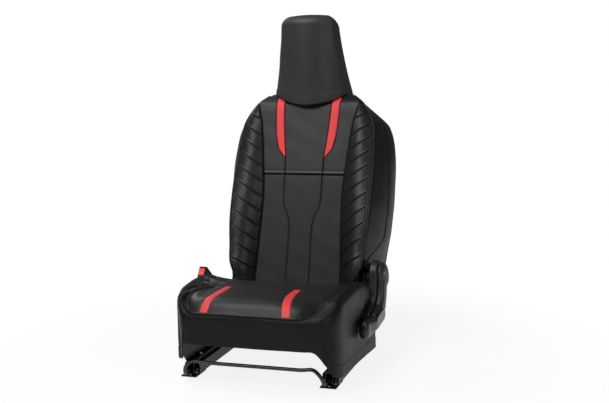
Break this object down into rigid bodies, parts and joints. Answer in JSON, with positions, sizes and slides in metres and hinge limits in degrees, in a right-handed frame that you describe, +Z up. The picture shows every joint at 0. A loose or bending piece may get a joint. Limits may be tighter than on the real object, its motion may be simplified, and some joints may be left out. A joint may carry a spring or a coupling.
{
  "type": "car front seat",
  "caption": "Reclining front seat with integral headrest, quilted leatherette cover with red inserts, slide rails with a release bar, recliner lever and belt buckle.",
  "frame": {"origin": "on the floor plane, at the centre of the four floor bolt holes in the rail feet", "axes": "+Z up, the seat faces -Y, +X is the side of the recliner lever (the left hand of a person sitting in it)"},
  "size_m": [0.552, 0.7624, 0.9866],
  "materials": {
    "rail_steel": "black electrocoat",
    "frame_steel": "black paint",
    "zinc_steel": "zinc plated",
    "bar_steel": "satin dark grey",
    "ball_steel": "hardened",
    "nylon": "natural nylon",
    "leatherette_black": "fine grain leatherette",
    "leatherette_perforated": "perforated leatherette",
    "leatherette_red": "smooth leatherette",
    "foam": "moulded polyurethane foam",
    "plastic_black": "fine texture",
    "plastic_lever": "semi-gloss",
    "button_red": "gloss red"
  },
  "bodies": {
    "floor_rails": {"lower_rail_left": "rail_steel", "lower_rail_right": "rail_steel", "front_feet": "rail_steel", "rear_feet": "rail_steel", "foot_rivets": "zinc_steel"},
    "ball_carriage": {"ball_cages": "nylon", "rail_balls": "ball_steel"},
    "seat_base": {"upper_rail_left": "rail_steel", "upper_rail_right": "rail_steel", "rail_glides": "nylon", "bar_pivot_pins": "zinc_steel", "side_member_left": "frame_steel", "side_member_right": "frame_steel", "front_cross_tube": "frame_steel", "rear_cross_tube": "frame_steel", "cushion_pan": "frame_steel", "cushion_springs": "zinc_steel", "frame_bolts": "zinc_steel", "cushion_foam": "foam", "cushion_top_panel": "leatherette_black", "cushion_skirt": "leatherette_black", "cushion_welt": "leatherette_black", "cushion_stripes": "leatherette_red", "recliner_plate": "frame_steel", "recliner_spacers": "zinc_steel", "recliner_bolts": "zinc_steel", "pivot_bolts": "zinc_steel", "shield_base": "plastic_black", "shield_cap": "plastic_black", "shield_screws": "zinc_steel", "buckle_anchor": "zinc_steel"},
    "release_bar": {"slide_bar": "bar_steel", "latch_plates": "zinc_steel"},
    "backrest": {"back_frame": "frame_steel", "back_cross_members": "frame_steel", "back_springs": "zinc_steel", "back_arm_outer": "frame_steel", "back_arm_inner": "frame_steel", "back_foam": "foam", "centre_panel_upper": "leatherette_black", "centre_panel_lower": "leatherette_perforated", "bolster_left": "leatherette_black", "bolster_right": "leatherette_black", "side_panel_left": "leatherette_black", "side_panel_right": "leatherette_black", "back_rear_panel": "leatherette_black", "back_piping": "leatherette_black", "back_inserts": "leatherette_red", "headrest_foam": "foam", "headrest_hood": "leatherette_black"},
    "lever": {"recliner_lever": "plastic_lever", "lever_shaft": "zinc_steel"},
    "pawl": {"recliner_pawl": "zinc_steel"},
    "buckle": {"buckle_stalk": "frame_steel", "buckle_housing": "plastic_black"},
    "button": {"buckle_button": "button_red"}
  },
  "joints": [
    {"name": "seat_slide", "type": "slide", "parent": "floor_rails", "child": "seat_base", "axis": [0, -1, 0], "range_m": [-0.055, 0.11]},
    {"name": "cage_roll", "type": "slide", "parent": "floor_rails", "child": "ball_carriage", "axis": [0, -1, 0], "range_m": [-0.0275, 0.055]},
    {"name": "back_recline", "type": "hinge", "parent": "seat_base", "child": "backrest", "pos_m": [0, 0.19, 0.212], "axis": [-1, 0, 0], "range_deg": [-4, 50]},
    {"name": "bar_lift", "type": "hinge", "parent": "seat_base", "child": "release_bar", "pos_m": [0, -0.11, 0.018], "axis": [-1, 0, 0], "range_deg": [0, 8], "stiffness_Nm_per_rad": 8, "springref_deg": -14.32},
    {"name": "lever_lift", "type": "hinge", "parent": "seat_base", "child": "lever", "pos_m": [0.28, 0.075, 0.135], "axis": [-1, 0, 0], "range_deg": [0, 25], "stiffness_Nm_per_rad": 0.8, "springref_deg": -20.05},
    {"name": "pawl_release", "type": "hinge", "parent": "seat_base", "child": "pawl", "pos_m": [0.212, 0.167, 0.144], "axis": [1, 0, 0], "range_deg": [0, 15]},
    {"name": "buckle_swing", "type": "hinge", "parent": "seat_base", "child": "buckle", "pos_m": [-0.256, 0.12, 0.115], "axis": [1, 0, 0], "range_deg": [-6, 14]},
    {"name": "button_press", "type": "slide", "parent": "buckle", "child": "button", "axis": [0, 0.7986, -0.6018], "range_m": [0, 0.005], "stiffness_N_per_m": 800, "springref_m": -0.002}
  ],
  "couplings": [
    {"joint": "cage_roll", "follows": "seat_slide", "ratio": 0.5},
    {"joint": "pawl_release", "follows": "lever_lift", "ratio": 0.6}
  ]
}
